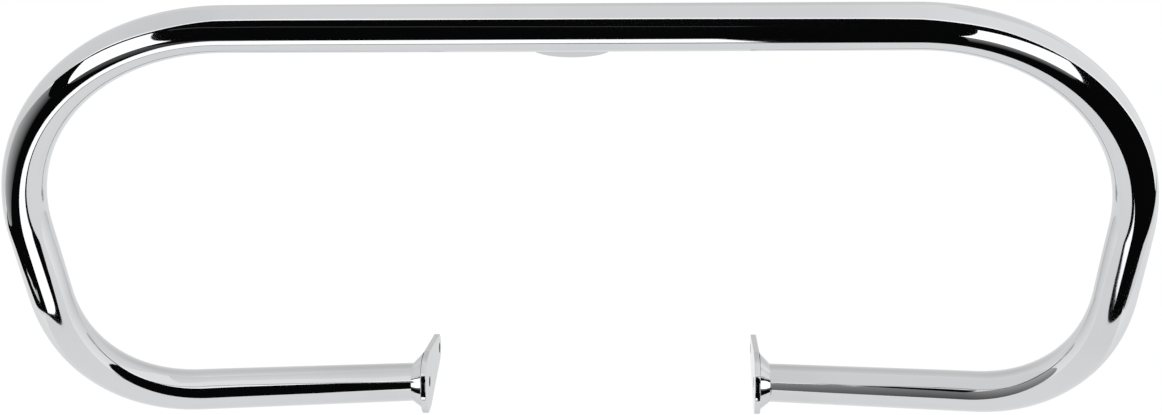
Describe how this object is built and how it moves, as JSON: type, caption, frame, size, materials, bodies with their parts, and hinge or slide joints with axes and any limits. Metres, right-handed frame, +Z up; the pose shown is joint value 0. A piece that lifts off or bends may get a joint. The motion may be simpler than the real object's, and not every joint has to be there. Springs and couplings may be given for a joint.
{
  "type": "motorcycle crash bars",
  "caption": "Chrome-plated tubular motorcycle crash bar: a bent hoop whose legs end in welded lug plates, with a rounded bolt tab behind the top run.",
  "frame": {"origin": "centre of the top tab's bolt hole, halfway through the tab, on the plane of symmetry", "axes": "+X along the top run, to the right when facing the front of the hoop; +Y rearward, from the hoop to the motorcycle; +Z up, with the line through each lug plate's two holes level"},
  "size_m": [0.8068, 0.4119, 0.4054],
  "materials": {
    "tube_chrome": "polished steel tube, bright chrome plate",
    "bracket_chrome": "flat steel plate with rounded edges, bright chrome plate",
    "weld_chrome": "dressed fillet weld, chrome plated over"
  },
  "bodies": {
    "root": {"main_tube": "tube_chrome", "right_mount_plate": "bracket_chrome", "left_mount_plate": "bracket_chrome", "top_mount_tab": "bracket_chrome", "right_plate_weld": "weld_chrome", "left_plate_weld": "weld_chrome", "top_tab_weld": "weld_chrome"}
  },
  "joints": []
}
